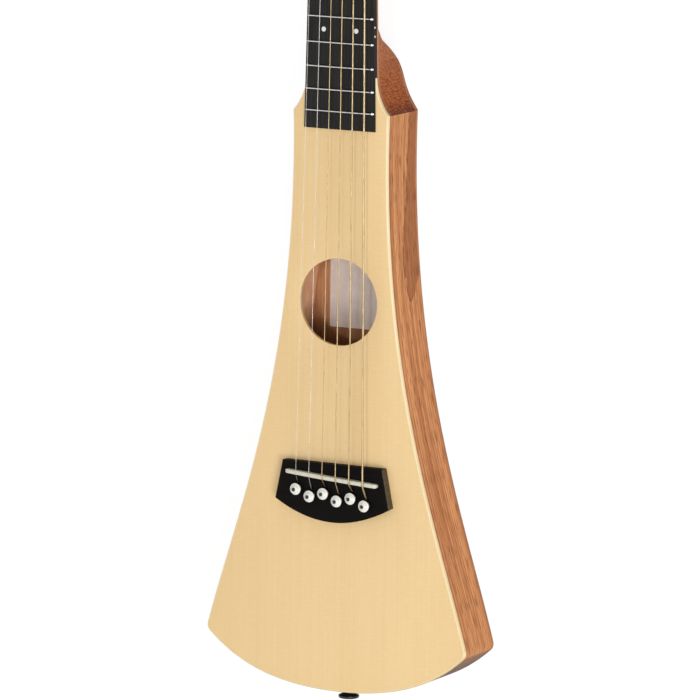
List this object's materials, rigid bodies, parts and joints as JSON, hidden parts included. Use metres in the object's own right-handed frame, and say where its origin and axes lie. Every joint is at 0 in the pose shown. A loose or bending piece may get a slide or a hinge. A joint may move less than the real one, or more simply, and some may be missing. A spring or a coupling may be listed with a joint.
{
  "type": "travel guitar",
  "caption": "Left-handed steel-string travel guitar with a slim flared body, round sound hole, pinned bridge and geared tuners.",
  "frame": {"origin": "on the flat face of the back, on the centreline, straight under the end of the scale at the saddle", "axes": "+Z out of the soundboard, +Y along the neck to the headstock, +X to the bass side"},
  "size_m": [0.2086, 0.9019, 0.058],
  "materials": {
    "spruce": "satin",
    "mahogany": "satin",
    "black_laminate": "matte",
    "bone_white": "satin",
    "white_plastic": "gloss",
    "black_plastic": "satin",
    "fret_wire": "polished",
    "plain_steel": "polished",
    "bronze_winding": "satin",
    "chrome": "polished"
  },
  "bodies": {
    "root": {"soundboard": "spruce", "brace_upper": "spruce", "brace_lower": "spruce", "back_plate": "mahogany", "side_treble": "mahogany", "side_bass": "mahogany", "tail_block": "mahogany", "bridge_plate": "mahogany", "neck": "mahogany", "fretboard": "black_laminate", "bridge": "black_laminate", "nut": "bone_white", "saddle": "bone_white", "bridge_pin_1": "white_plastic", "bridge_pin_2": "white_plastic", "bridge_pin_3": "white_plastic", "bridge_pin_4": "white_plastic", "bridge_pin_5": "white_plastic", "bridge_pin_6": "white_plastic", "strap_button": "black_plastic", "fret_01": "fret_wire", "fret_02": "fret_wire", "fret_03": "fret_wire", "fret_04": "fret_wire", "fret_05": "fret_wire", "fret_06": "fret_wire", "fret_07": "fret_wire", "fret_08": "fret_wire", "fret_09": "fret_wire", "fret_10": "fret_wire", "fret_11": "fret_wire", "fret_12": "fret_wire", "fret_13": "fret_wire", "fret_14": "fret_wire", "fret_15": "fret_wire", "string_1": "plain_steel", "string_2": "plain_steel", "string_3": "bronze_winding", "string_4": "bronze_winding", "string_5": "bronze_winding", "string_6": "bronze_winding", "tuner_1_housing": "chrome", "tuner_2_housing": "chrome", "tuner_3_housing": "chrome", "tuner_4_housing": "chrome", "tuner_5_housing": "chrome", "tuner_6_housing": "chrome", "strap_button_screw": "chrome"},
    "knob_1": {"tuner_1_knob": "chrome"},
    "post_1": {"tuner_1_post": "chrome"},
    "knob_2": {"tuner_2_knob": "chrome"},
    "post_2": {"tuner_2_post": "chrome"},
    "knob_3": {"tuner_3_knob": "chrome"},
    "post_3": {"tuner_3_post": "chrome"},
    "knob_4": {"tuner_4_knob": "chrome"},
    "post_4": {"tuner_4_post": "chrome"},
    "knob_5": {"tuner_5_knob": "chrome"},
    "post_5": {"tuner_5_post": "chrome"},
    "knob_6": {"tuner_6_knob": "chrome"},
    "post_6": {"tuner_6_post": "chrome"}
  },
  "joints": [
    {"name": "knob_1_turn", "type": "hinge", "parent": "root", "child": "knob_1", "pos_m": [-0.0185, 0.63586, 0.02176], "axis": [-1, 0, 0], "continuous": true},
    {"name": "post_1_turn", "type": "hinge", "parent": "root", "child": "post_1", "pos_m": [-0.0185, 0.64543, 0.03916], "axis": [0, 0.1045, 0.9945], "continuous": true},
    {"name": "knob_2_turn", "type": "hinge", "parent": "root", "child": "knob_2", "pos_m": [-0.0185, 0.66768, 0.01842], "axis": [-1, 0, 0], "continuous": true},
    {"name": "post_2_turn", "type": "hinge", "parent": "root", "child": "post_2", "pos_m": [-0.0185, 0.67726, 0.03581], "axis": [0, 0.1045, 0.9945], "continuous": true},
    {"name": "knob_3_turn", "type": "hinge", "parent": "root", "child": "knob_3", "pos_m": [-0.0185, 0.69951, 0.01507], "axis": [-1, 0, 0], "continuous": true},
    {"name": "post_3_turn", "type": "hinge", "parent": "root", "child": "post_3", "pos_m": [-0.0185, 0.70908, 0.03247], "axis": [0, 0.1045, 0.9945], "continuous": true},
    {"name": "knob_4_turn", "type": "hinge", "parent": "root", "child": "knob_4", "pos_m": [0.0185, 0.69951, 0.01507], "axis": [1, 0, 0], "continuous": true},
    {"name": "post_4_turn", "type": "hinge", "parent": "root", "child": "post_4", "pos_m": [0.0185, 0.70908, 0.03247], "axis": [0, 0.1045, 0.9945], "continuous": true},
    {"name": "knob_5_turn", "type": "hinge", "parent": "root", "child": "knob_5", "pos_m": [0.0185, 0.66768, 0.01842], "axis": [1, 0, 0], "continuous": true},
    {"name": "post_5_turn", "type": "hinge", "parent": "root", "child": "post_5", "pos_m": [0.0185, 0.67726, 0.03581], "axis": [0, 0.1045, 0.9945], "continuous": true},
    {"name": "knob_6_turn", "type": "hinge", "parent": "root", "child": "knob_6", "pos_m": [0.0185, 0.63586, 0.02176], "axis": [1, 0, 0], "continuous": true},
    {"name": "post_6_turn", "type": "hinge", "parent": "root", "child": "post_6", "pos_m": [0.0185, 0.64543, 0.03916], "axis": [0, 0.1045, 0.9945], "continuous": true}
  ],
  "couplings": [
    {"joint": "post_1_turn", "follows": "knob_1_turn", "ratio": 0.071429},
    {"joint": "post_2_turn", "follows": "knob_2_turn", "ratio": 0.071429},
    {"joint": "post_3_turn", "follows": "knob_3_turn", "ratio": 0.071429},
    {"joint": "post_4_turn", "follows": "knob_4_turn", "ratio": -0.071429},
    {"joint": "post_5_turn", "follows": "knob_5_turn", "ratio": -0.071429},
    {"joint": "post_6_turn", "follows": "knob_6_turn", "ratio": -0.071429}
  ]
}
